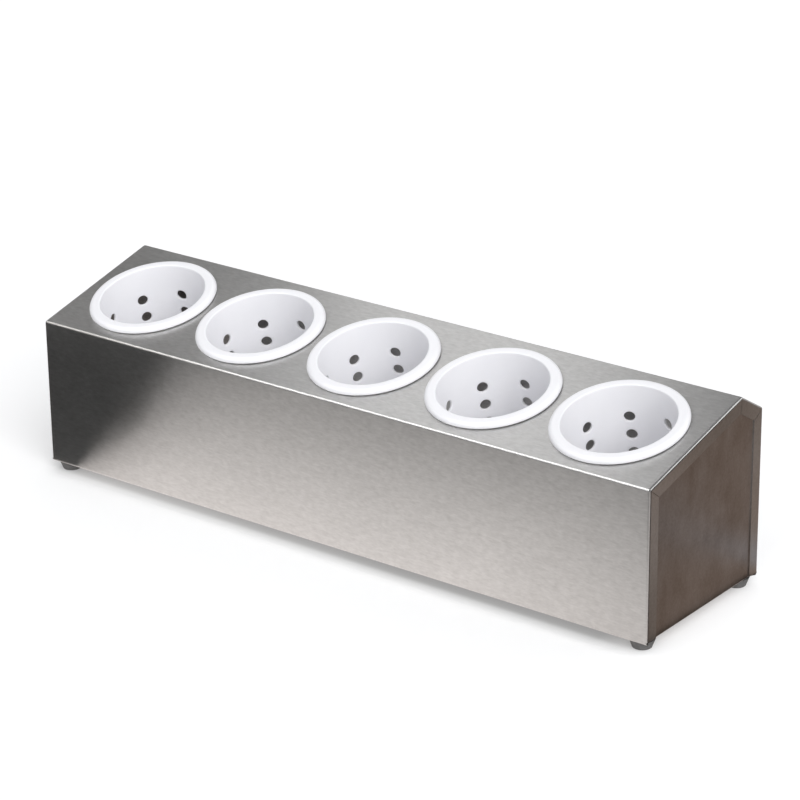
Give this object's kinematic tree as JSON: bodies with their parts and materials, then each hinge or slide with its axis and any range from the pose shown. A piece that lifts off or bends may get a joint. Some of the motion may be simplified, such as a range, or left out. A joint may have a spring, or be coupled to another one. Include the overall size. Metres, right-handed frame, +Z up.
{
  "type": "cutlery holder",
  "caption": "Long low countertop housing of brushed stainless sheet with a sloping top, whose round holes hold lift-out perforated plastic cups for cutlery.",
  "frame": {"origin": "on the surface that the feet stand on, under the middle of the holder", "axes": "+X along the length towards the right end as seen from the front, the front looks towards -Y, +Z up"},
  "size_m": [0.64, 0.1664, 0.1773],
  "materials": {
    "brushed_sheet": "brushed along the length",
    "end_sheet": "dull mill finish",
    "cup_plastic": "smooth white, satin",
    "foot_rubber": "matt dark grey",
    "fastener_steel": "bright plated"
  },
  "bodies": {
    "housing": {"body_shell": "brushed_sheet", "end_panel_left": "end_sheet", "end_panel_right": "end_sheet", "foot_front_left": "foot_rubber", "foot_front_right": "foot_rubber", "foot_rear_left": "foot_rubber", "foot_rear_right": "foot_rubber", "foot_washers": "fastener_steel", "foot_screws": "fastener_steel", "foot_nuts": "fastener_steel"},
    "cup_1_body": {"cup_1": "cup_plastic"},
    "cup_2_body": {"cup_2": "cup_plastic"},
    "cup_3_body": {"cup_3": "cup_plastic"},
    "cup_4_body": {"cup_4": "cup_plastic"},
    "cup_5_body": {"cup_5": "cup_plastic"}
  },
  "joints": [
    {"name": "cup_1_lift", "type": "slide", "parent": "housing", "child": "cup_1_body", "axis": [0, -0.247, 0.969], "range_m": [0, 0.145]},
    {"name": "cup_2_lift", "type": "slide", "parent": "housing", "child": "cup_2_body", "axis": [0, -0.247, 0.969], "range_m": [0, 0.145]},
    {"name": "cup_3_lift", "type": "slide", "parent": "housing", "child": "cup_3_body", "axis": [0, -0.247, 0.969], "range_m": [0, 0.145]},
    {"name": "cup_4_lift", "type": "slide", "parent": "housing", "child": "cup_4_body", "axis": [0, -0.247, 0.969], "range_m": [0, 0.145]},
    {"name": "cup_5_lift", "type": "slide", "parent": "housing", "child": "cup_5_body", "axis": [0, -0.247, 0.969], "range_m": [0, 0.145]}
  ]
}
